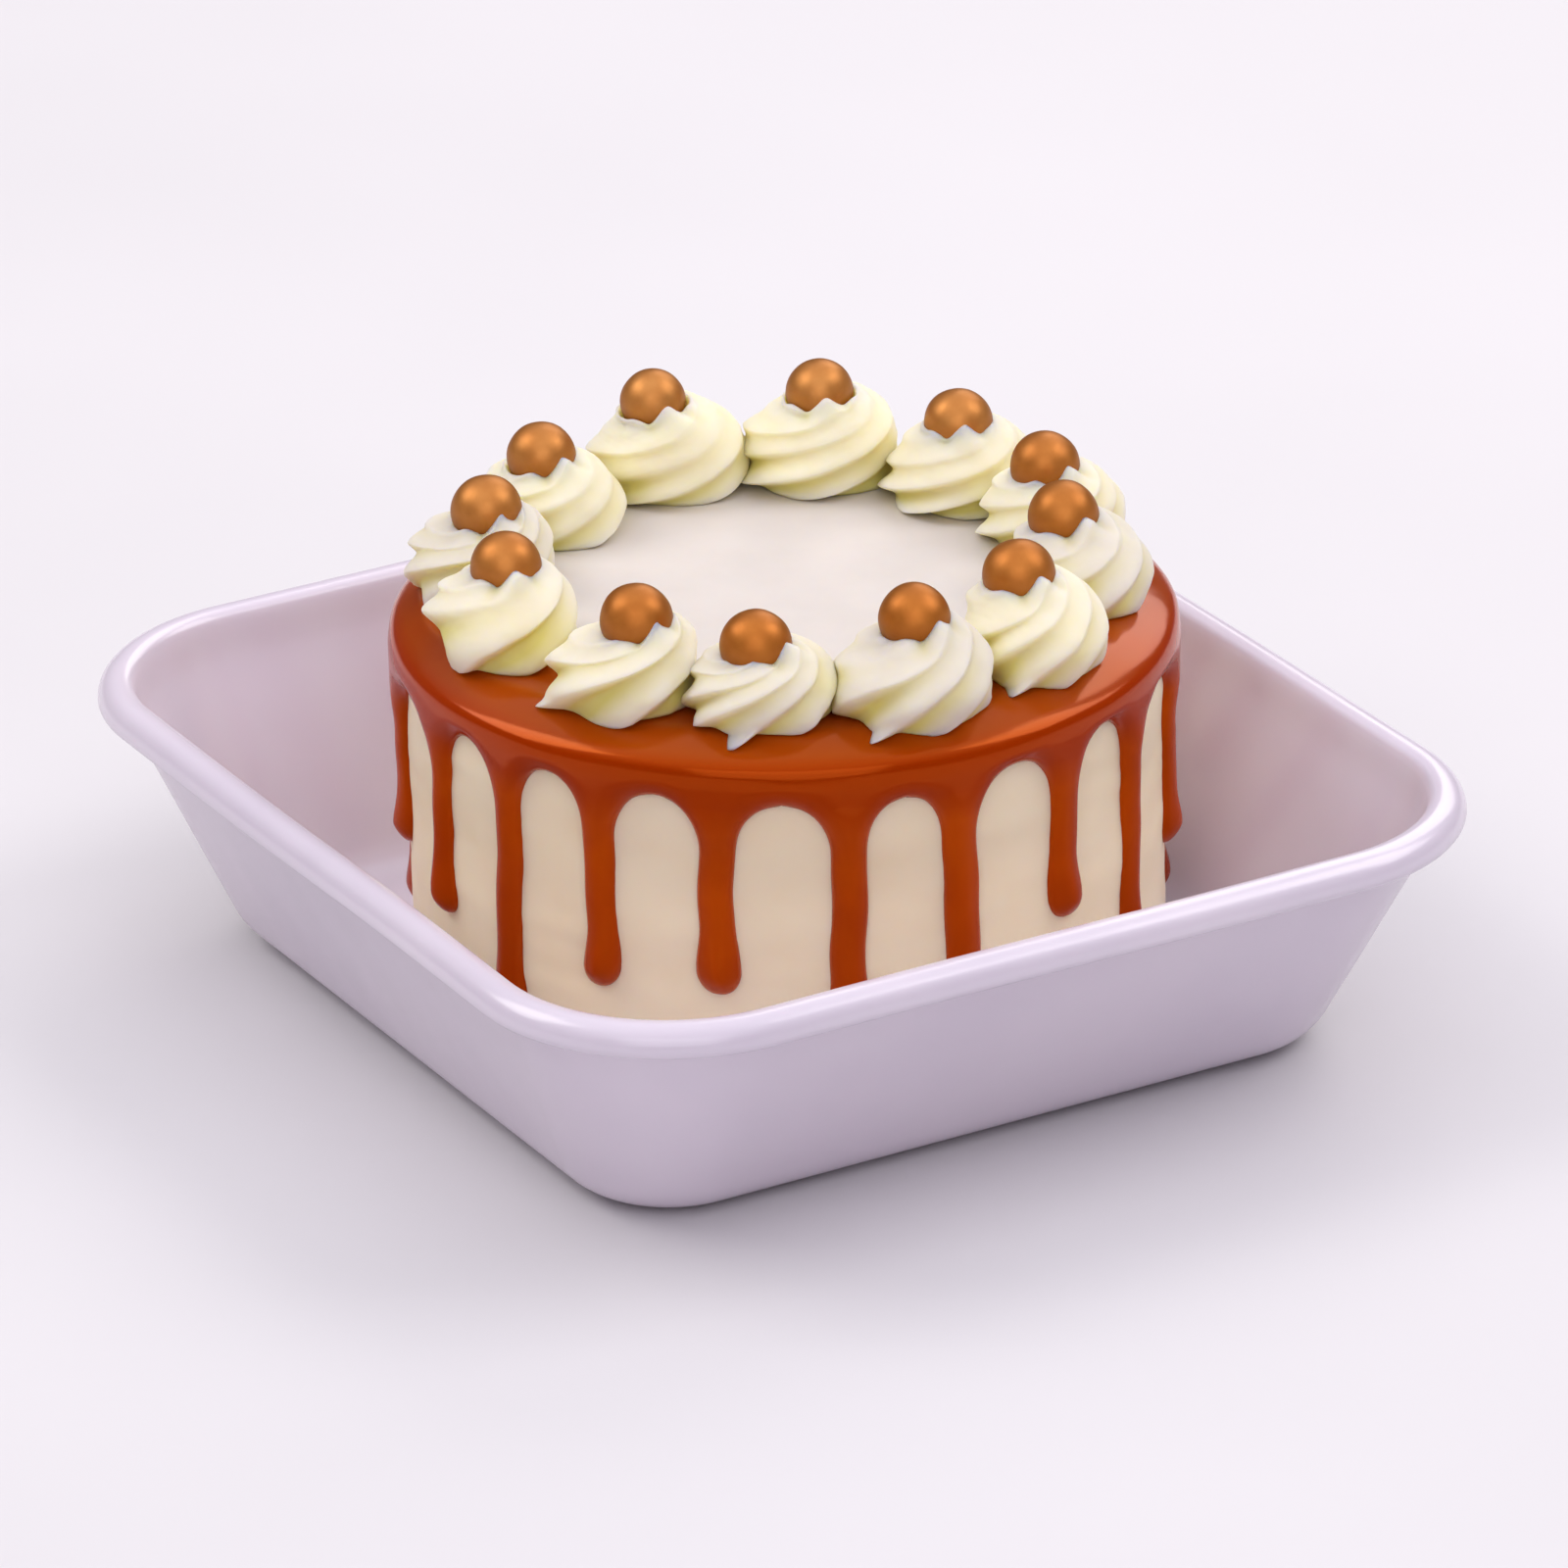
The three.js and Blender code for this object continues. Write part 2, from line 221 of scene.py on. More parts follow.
def cream_material():
    """Cream of the cake's side and top, satin; painted light: the side is painted warm and bright, the top darker and
    less yellow.
    """
    m = Mat("cream", Roughness=0.5, IOR=1.42)
    m.bsdf.inputs["Subsurface Weight"].default_value = 0.35
    m.bsdf.inputs["Subsurface Radius"].default_value = (0.0030, 0.0020, 0.0012)
    m.bsdf.inputs["Subsurface Scale"].default_value = 1.0
    sep = m.node("ShaderNodeSeparateXYZ")
    m.link(m.coords(), "Object", sep, "Vector")
    # painted light: between 51.5 and 54.5 mm the colour turns from the side's, painted warm and bright for warm light
    # bounced off the caramel, to the top's, painted darker and greyer against the light that falls on it from above
    up = m.remap(sep, "Z", 0.0515, 0.0545, 0.0, 1.0)
    n = m.remap(m.noise(14, 4), "Fac", 0.3, 0.7, 0.0, 1.0)
    _, side = m.mix(n, "Result", srgb(250, 232, 197), srgb(253, 238, 207))
    _, top = m.mix(n, "Result", srgb(208, 201, 195), srgb(214, 207, 201))
    mixn, col = m.mix(up, "Result", ("s", side), ("s", top))
    m.nt.links.new(col, m.bsdf.inputs["Base Color"])
    r = m.remap(m.noise(3.0, 4), "Fac", 0.25, 0.75, 0.42, 0.58)
    m.link(r, "Result", m.bsdf, "Roughness")
    # faint level streaks left by the scraper, and small pores
    streak = m.noise(5.0, 4, 0.6, stretch=(0.12, 0.12, 1.6))
    b1 = m.bump(streak.outputs["Fac"], 0.18, 0.12)
    pores = m.noise(0.55, 3)
    b2 = m.bump(pores.outputs["Fac"], 0.10, 0.05, b1)
    m.link(b2, "Normal", m.bsdf, "Normal")
    return m.mat


def caramel_material():
    m = Mat("caramel", Roughness=0.2, IOR=1.45, Metallic=0.12)
    m.bsdf.inputs["Specular IOR Level"].default_value = 0.8
    m.bsdf.inputs["Subsurface Weight"].default_value = 0.25
    m.bsdf.inputs["Subsurface Radius"].default_value = (0.0035, 0.0012, 0.0004)
    m.bsdf.inputs["Subsurface Scale"].default_value = 1.0
    m.bsdf.inputs["Specular Tint"].default_value = (1.0, 0.37, 0.06, 1.0)
    n = m.remap(m.noise(11, 3), "Fac", 0.3, 0.7, 0.0, 1.0)
    _, high = m.mix(n, "Result", srgb(174, 60, 0), srgb(192, 74, 0))
    # thicker and so redder towards the foot of the drips
    sep = m.node("ShaderNodeSeparateXYZ")
    m.link(m.coords(), "Object", sep, "Vector")
    low = m.remap(sep, "Z", 0.038, 0.016, 0.0, 0.8)
    _, side = m.mix(low, "Result", ("s", high), srgb(158, 48, 0))
    # round the shoulder it runs a little thicker; the flat top is painted darker than the drips, as painted shade
    # against the light that falls on it from above, yet paler than the shoulder
    turn = m.remap(sep, "Z", 0.043, 0.047, 0.0, 1.0)
    _, ring = m.mix(turn, "Result", ("s", side), srgb(164, 49, 0))
    flat = m.remap(sep, "Z", 0.0523, 0.0535, 0.0, 1.0)
    _, col = m.mix(flat, "Result", ("s", ring), srgb(165, 64, 0))
    m.nt.links.new(col, m.bsdf.inputs["Base Color"])
    r = m.remap(m.noise(4, 3), "Fac", 0.25, 0.75, 0.12, 0.19)
    m.link(r, "Result", m.bsdf, "Roughness")
    w = m.noise(6.0, 2)
    b1 = m.bump(w.outputs["Fac"], 0.25, 0.25)
    m.link(b1, "Normal", m.bsdf, "Normal")
    return m.mat


def rosette_material():
    m = Mat("piped_cream", Roughness=0.5, IOR=1.42)
    m.bsdf.inputs["Specular IOR Level"].default_value = 0.32
    m.bsdf.inputs["Subsurface Weight"].default_value = 0.75
    m.bsdf.inputs["Subsurface Radius"].default_value = (0.0045, 0.0038, 0.0014)
    m.bsdf.inputs["Subsurface Scale"].default_value = 1.0
    n = m.remap(m.noise(5, 3), "Fac", 0.3, 0.7, 0.0, 1.0)
    # painted light and shade: each swirl is painted between a shaded and a lit copy of the cream, darker where it
    # catches less light
    painted_light_tone = m.node("ShaderNodeAttribute", attribute_name="painted_light_tone")
    _, painted_shade_copy = m.mix(n, "Result", srgb(219, 212, 197), srgb(224, 218, 205))
    _, painted_light_copy = m.mix(n, "Result", srgb(246, 237, 204), srgb(248, 241, 215))
    _, tint = m.mix(painted_light_tone, "Fac", ("s", painted_shade_copy), ("s", painted_light_copy))
    # painted shade: the creases between the ridges, the notches by the pearl, the very foot and the low sides that
    # face the next swirls are painted a deeper yellow cream
    att = m.node("ShaderNodeAttribute", attribute_name="crease_shade")
    _, col = m.mix(att, "Fac", ("s", tint), srgb(222, 212, 124))
    m.nt.links.new(col, m.bsdf.inputs["Base Color"])
    r = m.remap(m.noise(2.2, 4), "Fac", 0.25, 0.75, 0.42, 0.6)
    m.link(r, "Result", m.bsdf, "Roughness")
    streak = m.noise(1.1, 4, 0.6)
    b1 = m.bump(streak.outputs["Fac"], 0.16, 0.10)
    m.link(b1, "Normal", m.bsdf, "Normal")
    return m.mat


def pearl_material():
    m = Mat("sugar_pearl", Roughness=0.42, IOR=1.5, Metallic=0.5)
    m.bsdf.inputs["Specular Tint"].default_value = (1.0, 0.72, 0.48, 1.0)
    m.bsdf.inputs["Coat Weight"].default_value = 0.05
    m.bsdf.inputs["Coat Roughness"].default_value = 0.34
    n = m.remap(m.noise(2.6, 4), "Fac", 0.3, 0.7, 0.0, 1.0)
    lw = m.node("ShaderNodeLayerWeight", in_Blend=0.35)
    # painted light and shade: each pearl is painted between a shaded and a lit copy of its colour
    painted_light_tone = m.node("ShaderNodeAttribute", attribute_name="painted_light_tone")
    _, painted_shade_copy = m.mix(n, "Result", srgb(183, 103, 30), srgb(196, 115, 38))
    _, painted_light_copy = m.mix(n, "Result", srgb(203, 134, 66), srgb(213, 147, 78))
    _, base = m.mix(painted_light_tone, "Fac", ("s", painted_shade_copy), ("s", painted_light_copy))
    # painted shade and painted reflection: darker and browner towards the foot, for the shade of the cream round it
    # and the darker surroundings it reflects
    sep = m.node("ShaderNodeSeparateXYZ")
    m.link(m.coords(), "Generated", sep, "Vector")
    low = m.remap(sep, "Z", 0.66, 0.2, 0.0, 0.9)
    _, shaded = m.mix(low, "Result", ("s", base), srgb(128, 62, 0))
    # painted shade: darker and browner round the rim as seen, by how far each point turns from the view
    _, col = m.mix(lw, "Facing", ("s", shaded), srgb(126, 76, 28))
    m.nt.links.new(col, m.bsdf.inputs["Base Color"])
    r = m.remap(m.noise(1.2, 3), "Fac", 0.25, 0.75, 0.36, 0.48)
    m.link(r, "Result", m.bsdf, "Roughness")
    fine = m.noise(0.5, 3)
    b = m.bump(fine.outputs["Fac"], 0.12, 0.04)
    m.link(b, "Normal", m.bsdf, "Normal")
    return m.mat


# ---------------------------------------------------------------------------
# bento box
# ---------------------------------------------------------------------------

WALL = 1.5
FOOT_X, FOOT_Y, FOOT_C, EDGE_R = 51.4, 48.4, 7.7, 9.1
TOP_X, TOP_Y, TOP_C, TOP_Z = 73.7, 67.1, 23.5, 30.9
LIP_OUT, LIP_R, LIP_Z, LIP_UNDER = 4.25, 2.95, 33.6, 1.4


def wall_half(foot, top, radius, z_top, z):
    """Half width of a wall at height z: a rounding of that radius at the foot,
    then a straight slope up to the half width top at z_top."""
    lo, hi = 0.1, 1.55
    for _ in range(60):
        a = (lo + hi) / 2
        x0, z0 = foot + radius * math.sin(a), EDGE_R - radius * math.cos(a)
        end = x0 + (z_top - z0) / math.tan(a)
        lo, hi = (a, hi) if end > top else (lo, a)
    z0 = EDGE_R - radius * math.cos(a)
    if z <= z0:
        return foot + math.sqrt(max(0.0, radius**2 - (EDGE_R - z) ** 2))
    return foot + radius * math.sin(a) + (z - z0) / math.tan(a)


def rounded_ring(hx, hy, c, z, steps=26, side=14):
    """Rounded rectangle with points along its straight sides too."""
    pts = []
    corners = [(1, 1), (-1, 1), (-1, -1), (1, -1)]
    for q, (sx, sy) in enumerate(corners):
        cx, cy = sx * (hx - c), sy * (hy - c)
        arc = [
            (cx + c * math.cos(math.radians(90 * (q + i / steps))),
             cy + c * math.sin(math.radians(90 * (q + i / steps))))
            for i in range(steps + 1)
        ]
        pts += arc
        nx, ny = corners[(q + 1) % 4]
        s = (nx * (hx - c) + c * math.cos(math.radians(90 * (q + 1))),
             ny * (hy - c) + c * math.sin(math.radians(90 * (q + 1))))
        e = arc[-1]
        pts += [(e[0] + (s[0] - e[0]) * k / side, e[1] + (s[1] - e[1]) * k / side) for k in range(1, side)]
    return np.array([(x, y, z) for x, y in pts])


def build_box(mat):
    rings = []
    # outside, from the middle of the underside up to the lip
    for f in (0.03, 0.3, 0.65, 0.9):
        rings.append(rounded_ring(FOOT_X * f, FOOT_Y * f, FOOT_C * f, 0.0))
    zs = [EDGE_R - EDGE_R * math.cos(math.radians(a)) for a in range(0, 68, 5)]
    zs += list(np.linspace(zs[-1] + 1.4, TOP_Z, 12))
    for z in zs:
        rings.append(rounded_ring(
            wall_half(FOOT_X, TOP_X, EDGE_R, TOP_Z, z),
            wall_half(FOOT_Y, TOP_Y, EDGE_R, TOP_Z, z),
            wall_half(FOOT_C, TOP_C, EDGE_R, TOP_Z, z), z))
    at = lambda d, z: rounded_ring(TOP_X + d, TOP_Y + d, TOP_C + d, z)
    # a soft hollow leads out under the lip, then round its edge and over the roll
    under = LIP_Z - LIP_UNDER
    q0, q1, q2, q3 = (np.array(q) for q in ((0.1, 31.13), (0.46, 31.95), (1.3, under), (2.5, under)))
    for t in np.linspace(0, 1, 10):
        b = (1 - t)**3 * q0 + 3 * (1 - t)**2 * t * q1 + 3 * (1 - t) * t * t * q2 + t**3 * q3
        rings.append(at(b[0], b[1]))
    for a in range(10, 90, 10):
        rings.append(at(2.5 + (LIP_OUT - 2.5) * math.sin(math.radians(a)), LIP_Z - LIP_UNDER * math.cos(math.radians(a))))
    mid = LIP_OUT - LIP_R
    for a in range(0, 121, 8):
        rings.append(at(mid + LIP_R * math.cos(math.radians(a)), LIP_Z + LIP_R * math.sin(math.radians(a))))
    # blend from the roll into the inner wall
    p0 = np.array([mid + LIP_R * math.cos(math.radians(120)), LIP_Z + LIP_R * math.sin(math.radians(120))])
    p3 = np.array([-2.25, 30.0])
    p1 = p0 + np.array([-math.cos(math.radians(30)), -math.sin(math.radians(30))]) * 1.15
    p2 = p3 + np.array([0.45, 0.9]) * 1.9
    for t in (0.15, 0.3, 0.45, 0.6, 0.8):
        b = (1 - t)**3 * p0 + 3 * (1 - t)**2 * t * p1 + 3 * (1 - t) * t * t * p2 + t**3 * p3
        rings.append(at(b[0], b[1]))
    r_in = EDGE_R - WALL
    zi = [EDGE_R - r_in * math.cos(math.radians(a)) for a in range(0, 68, 5)]
    zi += list(np.linspace(zi[-1] + 1.6, 30.0, 12))
    for z in reversed(zi):
        rings.append(rounded_ring(
            wall_half(FOOT_X, TOP_X - 2.25, r_in, 30.0, z),
            wall_half(FOOT_Y, TOP_Y - 2.25, r_in, 30.0, z),
            wall_half(FOOT_C, TOP_C - 2.25, r_in, 30.0, z), z))
    for f in (0.9, 0.65, 0.3, 0.03):
        rings.append(rounded_ring(FOOT_X * f, FOOT_Y * f, FOOT_C * f, WALL))
    v, f = revolve(rings)
    # thin moulded plastic is never quite flat
    wob = Wobble(11, 90, 2)
    k = smoothstep(4, 30, v[:, 2])
    out = v[:, :2] / np.maximum(np.linalg.norm(v[:, :2], axis=1, keepdims=True), 1)
    v[:, :2] += out * (k * (0.22 * wob(v[:, 0], v[:, 1], v[:, 2] * 0.6) - 0.22))[:, None]
    return make_mesh("bento_box_shell", v, f, mat, "bento_box")


# ---------------------------------------------------------------------------
# cake body
# ---------------------------------------------------------------------------

CAKE_R = 49.9
TOP = 54.95


def ring_at(r, z, n):
    a = np.arange(n) / n * 2 * math.pi
    return np.stack([r * np.cos(a), r * np.sin(a), np.full(n, z)], 1)


def seam_out(x, y):
    """How much further out the seam between white top and caramel lies."""
    return 6.6 * smoothstep(-0.25, 0.45, (x * math.cos(math.radians(150)) + y * math.sin(math.radians(150))) / 40)


def build_cake(mat):
    n = 360
    prof = [(1.0, 1.9), (16, 1.9), (32, 1.9), (44, 1.9), (46.6, 1.9)]
    for a in range(15, 91, 15):
        prof.append((CAKE_R - 2.7 + 2.7 * math.sin(math.radians(a)), 4.6 - 2.7 * math.cos(math.radians(a))))
    prof += [(CAKE_R, z) for z in np.linspace(5.6, 49.0, 46)]
    for a in range(15, 91, 15):
        prof.append((46.1 + 3.8 * math.cos(math.radians(a)), 49.2 + 3.8 * math.sin(math.radians(a))))
    prof += [(44.6, 53.0), (43.0, 53.0), (41.0, 53.0), (39.0, 53.0), (37.3, 53.05), (36.7, 53.3), (36.3, 53.9), (36.0, 54.5), (35.4, 54.85)]
    prof += [(r, TOP) for r in (34.5, 33.2, 31.6, 29.5, 27, 24, 21, 18, 15, 12, 9, 6, 3.5, 1.2)]
    rings = [ring_at(r, z, n) for r, z in prof]
    v, f = revolve(rings)
    rad = np.maximum(np.hypot(v[:, 0], v[:, 1]), 1e-6)
    dirs = v[:, :2] / rad[:, None]
    near_seam = smoothstep(52.9, 53.0, v[:, 2]) * smoothstep(20, 35.4, rad) * np.clip((46.1 - rad) / (46.1 - 37.3), 0, 1)
    v[:, :2] += dirs * (near_seam * seam_out(v[:, 0], v[:, 1]))[:, None]
    side = Wobble(21, 26, 3)(v[:, 0], v[:, 1], v[:, 2] * 1.7)
    comb = Wobble(22, 7.0, 2)(v[:, 0] * 0.15, v[:, 1] * 0.15, v[:, 2] * 1.4)
    on_side = smoothstep(44, 49.5, rad) * smoothstep(2, 6, v[:, 2]) * (1 - smoothstep(47, 50, v[:, 2]))
    v[:, :2] += dirs * (on_side * (0.16 * side + 0.06 * comb))[:, None]
    top = Wobble(23, 17, 3)(v[:, 0], v[:, 1], v[:, 2] * 0)
    on_top = smoothstep(53.5, 54.9, v[:, 2])
    v[:, 2] += on_top * (0.14 * top - 0.05)
    v[:, :2] += CAKE
    return make_mesh("cake_cream_body", v, f, mat, "cake_body")


# ---------------------------------------------------------------------------
# caramel
# ---------------------------------------------------------------------------

# One row per drip: angle on the cake in degrees, height of its lowest point,
# half width of its bulb, height of the arch on its anticlockwise side,
# half width of its neck, sideways lean of its lower end.
DRIPS = [
    [-131.5, 6.8, 2.5, 47.0, 2.0, 0.3],
    [-114.5, 22.2, 2.6, 47.3, 2.1, -0.2],
    [-92.3, 20.3, 2.8, 47.8, 1.95, -0.3],
    [-75.4, 11.0, 2.7, 47.6, 2.15, -0.2],
    [-58.4, 19.0, 2.65, 47.3, 2.2, -0.15],
    [-40.1, 20.0, 2.95, 46.7, 2.35, 0.0],
    [-20.8, 13.6, 2.8, 46.6, 2.35, 0.1],
    [-3.4, 12.6, 2.8, 48.0, 2.45, 0.1],
    [15.7, 23.7, 2.85, 48.3, 2.25, 0.2],
    [32.9, 12.0, 2.6, 48.2, 2.1, -0.1],
    [54.8, 20.4, 2.7, 47.4, 2.1, -0.3],
    [72.5, 6.2, 2.5, 46.8, 2.0, 0.2],
    [89.5, 19.4, 2.8, 47.3, 2.2, 0.2],
    [107.0, 13.8, 2.7, 47.6, 2.1, -0.2],
    [124.5, 22.6, 2.9, 46.9, 2.25, 0.1],
    [143.0, 16.2, 2.6, 47.2, 2.05, 0.3],
    [160.5, 24.0, 2.8, 47.5, 2.2, -0.2],
    [178.0, 12.4, 2.7, 46.7, 2.05, 0.2],
    [196.0, 20.8, 2.85, 47.1, 2.2, 0.1],
    [213.0, 15.0, 2.7, 47.4, 2.1, -0.3],
]
ARCH_H = 7.2
Y_TOP = 49.3       # where the shoulder of the ring starts
RING_H = 2.2       # how far the ring stands off the cream
TOP_CARAMEL = 55.0
# Outline of the ring from its side over a fairly tight ridge to the flat top: a
# crowned slope, so that its gloss gathers in a line along the edge.
SHOULDER = [(52.08, 49.75), (52.0, 50.4), (51.92, 51.0), (51.8, 51.55), (51.6, 51.98), (51.32, 52.36), (50.92, 52.72),
            (50.4, 53.05), (49.75, 53.37), (49.05, 53.69), (48.3, 54.0), (47.5, 54.33), (46.7, 54.62), (45.9, 54.85), (45.1, 54.97)]
INNER_R = 36.5  # the hidden seam, further out on the far side


def drip_side(drip, side, half_gap, z_arch, rows):
    """Points of one side of a drip, row by row from the lowest point to the arch:
    list of (half width, height)."""
    _, z_low, bulb, _, neck, _ = drip
    tall = 1.12 * bulb
    zc = z_low + tall
    out = []
    for a in np.linspace(0, 90, rows[0]):
        a = math.radians(a)
        out.append((bulb * math.sin(a) ** 0.92, zc - tall * math.cos(a)))
    z_neck = zc + 2.3 * bulb
    for t in np.linspace(0, 1, rows[1] + 1)[1:]:
        k = 0.5 - 0.5 * math.cos(math.pi * t)
        out.append((bulb + (neck - bulb) * k, zc + (z_neck - zc) * t))
    z_base = z_arch - ARCH_H
    for t in np.linspace(0, 1, rows[2] + 1)[1:]:
        out.append((neck, z_neck + (z_base - z_neck) * t))
    for t in np.linspace(0, 90, rows[3] + 1)[1:]:
        t = math.radians(t)
        out.append((half_gap - (half_gap - neck) * max(0.0, math.cos(t)) ** 0.9, z_base + ARCH_H * math.sin(t)))
    for t in np.linspace(0, 1, rows[4] + 1)[1:]:
        out.append((half_gap, z_arch + (Y_TOP - z_arch) * t))
    return out


def distance_to(points, line):
    """Distance from each of points (n, 2) to the polyline line (m, 2)."""
    a, b = line[:-1], line[1:]
    ab = b - a
    l2 = np.maximum((ab**2).sum(1), 1e-12)
    best = np.full(len(points), 1e9)
    for k in range(len(a)):
        t = np.clip(((points - a[k]) @ ab[k]) / l2[k], 0, 1)
        d = np.hypot(*(points - a[k] - t[:, None] * ab[k]).T)
        best = np.minimum(best, d)
    return best


def build_caramel(mat):
    n = len(DRIPS)
    rows = (14, 7, 18, 14, 4)
    cols = 23
    u = np.sin(np.linspace(-90, 90, cols) * math.pi / 180)
    u = 0.75 * u + 0.25 * np.linspace(-1, 1, cols)
    circ = math.radians(1) * CAKE_R
    sides = []
    for i in range(n):
        nxt = DRIPS[(i + 1) % n][0] + (360 if i + 1 == n else 0)
        prv = DRIPS[(i - 1) % n][0] - (360 if i == 0 else 0)
        left_arch = DRIPS[(i - 1) % n][3]
        gap_l = (DRIPS[i][0] - prv) * circ / 2
        gap_r = (nxt - DRIPS[i][0]) * circ / 2
        sides.append((drip_side(DRIPS[i], -1, gap_l, left_arch, rows),
                      drip_side(DRIPS[i], 1, gap_r, DRIPS[i][3], rows)))
    nrow = len(sides[0][0])
    edge_row = nrow - rows[4]  # the outline runs from row 0 up to here

    def lean(i, z):
        """Sideways wander of drip i at height z."""
        drip = DRIPS[i]
        k = smoothstep(45.6, 38, z)
        free = np.clip((44 - z) / 32, 0, 1)
        return k * (drip[5] * free + 0.22 * np.sin(z * 0.21 + i * 2.1) + 0.1 * np.sin(z * 0.55 + i * 4.7))

    outlines = []
    for i in range(n):
        left, right = sides[i]
        s0 = DRIPS[i][0] * circ
        pl = np.array([(s0 - w, z) for w, z in left[:edge_row]])
        pr = np.array([(s0 + w, z) for w, z in right[:edge_row]])
        line = np.concatenate([pl[::-1], pr[1:]])
        line[:, 0] += lean(i, line[:, 1])
        outlines.append(line)
    total = 360 * circ

    verts, faces = [], []
    lump = Wobble(31, 9, 2)
    strip_top = []
    height = []
    for i in range(n):
        left, right = sides[i]
        s0 = DRIPS[i][0] * circ
        pts = []
        for j in range(nrow):
            (wl, zl), (wr, zr) = left[j], right[j]
            for k in range(cols):
                uu = u[k]
                side_z = zl if uu < 0 else zr
                zm = (zl + zr) / 2
                z = zm + (side_z - zm) * abs(uu) ** 1.5
                s = s0 + (uu * wl if uu < 0 else uu * wr)
                s += float(lean(i, np.array(z)))
                pts.append((s, z))
        pts = np.array(pts)
        d = distance_to(pts, outlines[i])
        for o in (-1, 1):
            line = outlines[(i + o) % n].copy()
            if i + o < 0:
                line[:, 0] -= total
            if i + o >= n:
                line[:, 0] += total
            d = np.minimum(d, distance_to(pts, line))
        z = pts[:, 1]
        # bead profile; the drips stand a little less proud than the ring
        _, z_low, bulb, _, neck, _ = DRIPS[i]
        reach = 2.45 + 0.9 * smoothstep(41, 48, z)
        t = np.clip(d / reach, 0, 1)
        dome = np.sqrt(np.clip(1 - (1 - t) ** 2, 0, 1))
        tall = 1.68 + (RING_H - 1.68) * smoothstep(38, 46, z)
        zc = z_low + 1.12 * bulb
        round_end = np.exp(-((z - zc) / (1.35 * bulb)) ** 2)
        h = dome * (tall + 0.75 * round_end * np.clip(d / bulb, 0, 1))
        x3, y3 = np.cos(pts[:, 0] / CAKE_R), np.sin(pts[:, 0] / CAKE_R)
        h = h * (1 + 0.05 * lump(x3 * 50, y3 * 50, z) * smoothstep(49, 46, z))
        # at the top of the strip it becomes the ring exactly
        k = smoothstep(46.5, Y_TOP, z) * smoothstep(0.6, 1.0, t)
        h = h * (1 - k) + RING_H * k
        height.append((pts, h))

    front_count = 0
    # front of all strips
    strip_index = []
    for i in range(n):
        pts, h = height[i]
        r = CAKE_R + h
        a = pts[:, 0] / CAKE_R
        start = len(verts)
        strip_index.append(start)
        verts += list(np.stack([r * np.cos(a), r * np.sin(a), pts[:, 1]], 1))
        faces += grid_faces(nrow, cols, False, start)
    # ring: shoulder, flat top and rounded inner edge, in columns that continue the strips
    ring_cols = []
    for i in range(n):
        for k in range(cols - 1):
            ring_cols.append(height[i][0][(nrow - 1) * cols + k][0] / CAKE_R)
    ring_cols = np.array(ring_cols)
    m = len(ring_cols)
    prof = []
    for r, z in SHOULDER:
        prof.append((r, z))
    for r in np.linspace(44.2, INNER_R + 1.2, 10):
        prof.append((r, TOP_CARAMEL))
    for a in (25, 50, 75, 90):
        prof.append((INNER_R + 0.7 - 0.7 * math.sin(math.radians(a)) , TOP_CARAMEL - 0.7 + 0.7 * math.cos(math.radians(a))))
    rows_ring = []
    swell = Wobble(32, 30, 2)
    for r, z in prof:
        x, y = r * np.cos(ring_cols), r * np.sin(ring_cols)
        r = r + seam_out(x, y) * min(1.0, max(0.0, (46.6 - r) / (46.6 - INNER_R - 0.7)))
        x, y = r * np.cos(ring_cols), r * np.sin(ring_cols)
        amount = 0.13 * float(smoothstep(49.4, 53.5, z))
        dz = amount * swell(x, y, 0 * x)
        dr = amount * swell(x + 200, y, 0 * x) * smoothstep(42, 46, r)
        rows_ring.append(np.stack([(r + dr) * np.cos(ring_cols), (r + dr) * np.sin(ring_cols), z + dz], 1))
    ring_start = len(verts)
    for row in rows_ring:
        verts += list(row)
    faces += grid_faces(len(prof), m, True, ring_start)
    # join the strips' top rows to the first ring row
    for i in range(n):
        base = strip_index[i] + (nrow - 1) * cols
        for k in range(cols - 1):
            c0 = ring_start + (i * (cols - 1) + k) % m
            c1 = ring_start + (i * (cols - 1) + k + 1) % m
            faces.append((base + k, base + k + 1, c1, c0))
    front_count = len(verts)
    # back, against the cream: the same net pushed a little into it
    V = np.array(verts)
    back = V.copy()
    r = np.hypot(V[:, 0], V[:, 1])
    a = np.arctan2(V[:, 1], V[:, 0])
    is_side = np.arange(front_count) < ring_start
    rb = np.where(is_side, CAKE_R - 0.35, 0)
    zb = V[:, 2].copy()
    # ring rows follow the cream's own shoulder
    for q, (pr, pz) in enumerate(prof):
        sl = slice(ring_start + q * m, ring_start + (q + 1) * m)
        if q < 15:
            an = math.radians(6 * (q + 1))
            rb[sl] = 46.1 + 3.45 * math.cos(an)
            zb[sl] = 49.2 + 3.45 * math.sin(an)
        else:
            rb[sl] = r[sl] - 0.9 * (1 - (q - 15) / (len(prof) - 16))
            zb[sl] = 52.65
    back[:, 0], back[:, 1], back[:, 2] = rb * np.cos(a), rb * np.sin(a), zb
    front_faces = list(faces)
    verts = list(V) + list(back)
    faces += [tuple(v + front_count for v in f[::-1]) for f in front_faces]
    # walls between front and back round the open borders
    edge_use = {}
    for f in front_faces:
        for p, q in zip(f, f[1:] + f[:1]):
            edge_use[(p, q)] = edge_use.get((p, q), 0) + 1
